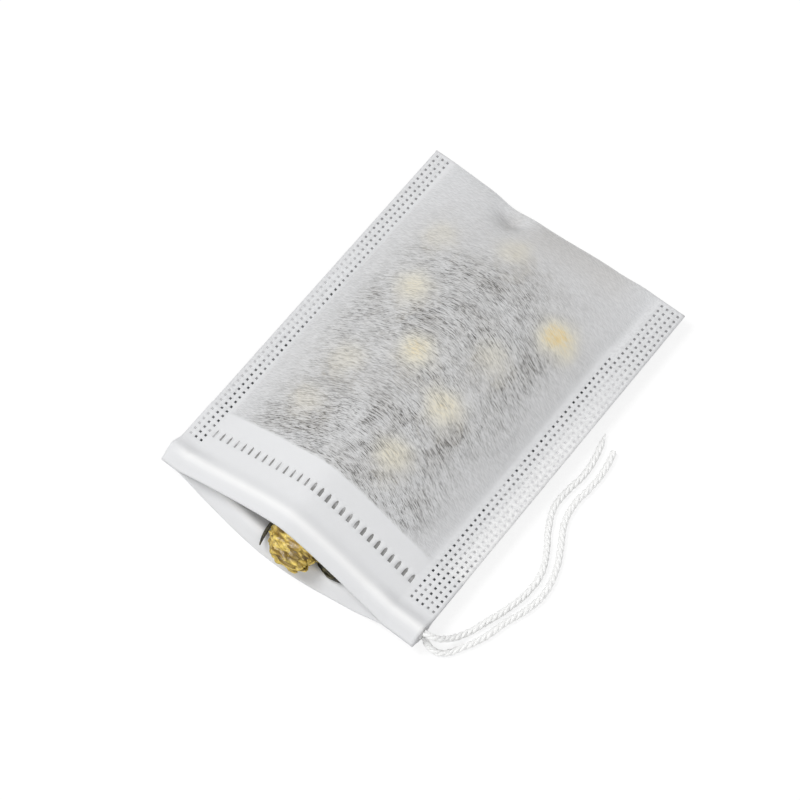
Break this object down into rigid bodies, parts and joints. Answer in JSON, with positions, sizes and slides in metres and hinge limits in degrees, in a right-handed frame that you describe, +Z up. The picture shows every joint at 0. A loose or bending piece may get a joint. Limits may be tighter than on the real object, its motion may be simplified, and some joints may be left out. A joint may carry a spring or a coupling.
{
  "type": "drawstring tea filter bag",
  "caption": "Flat non-woven tea filter bag with dotted side seals and a slotted drawstring hem, filled with flower buds and leaves and lying on its back.",
  "frame": {"origin": "on the table under the middle of the bag", "axes": "+Z up off the table, +Y from the mouth to the bottom fold, +X to the side where the drawstring leaves"},
  "size_m": [0.0608, 0.0726, 0.0119],
  "materials": {
    "cloth": "matt white non-woven, half transparent",
    "cotton": "white twisted cotton",
    "petals": "dry golden petals",
    "leaves": "dry dark rolled leaf"
  },
  "bodies": {
    "root": {"filter_bag": "cloth", "drawstring": "cotton", "drawstring_front_tail": "cotton", "drawstring_back_tail": "cotton", "flower_bud_at_mouth": "petals", "flower_bud_01": "petals", "flower_bud_02": "petals", "flower_bud_03": "petals", "flower_bud_04": "petals", "flower_bud_05": "petals", "flower_bud_06": "petals", "flower_bud_07": "petals", "flower_bud_08": "petals", "flower_bud_09": "petals", "flower_bud_10": "petals", "tea_leaf_01": "leaves", "tea_leaf_02": "leaves", "tea_leaf_03": "leaves", "tea_leaf_04": "leaves", "tea_leaf_05": "leaves", "tea_leaf_06": "leaves", "tea_leaf_07": "leaves", "tea_leaf_08": "leaves", "tea_leaf_09": "leaves", "tea_leaf_10": "leaves", "tea_leaf_11": "leaves", "tea_leaf_12": "leaves", "tea_leaf_13": "leaves", "tea_leaf_14": "leaves", "tea_leaf_15": "leaves", "tea_leaf_16": "leaves", "tea_leaf_17": "leaves"}
  },
  "joints": []
}
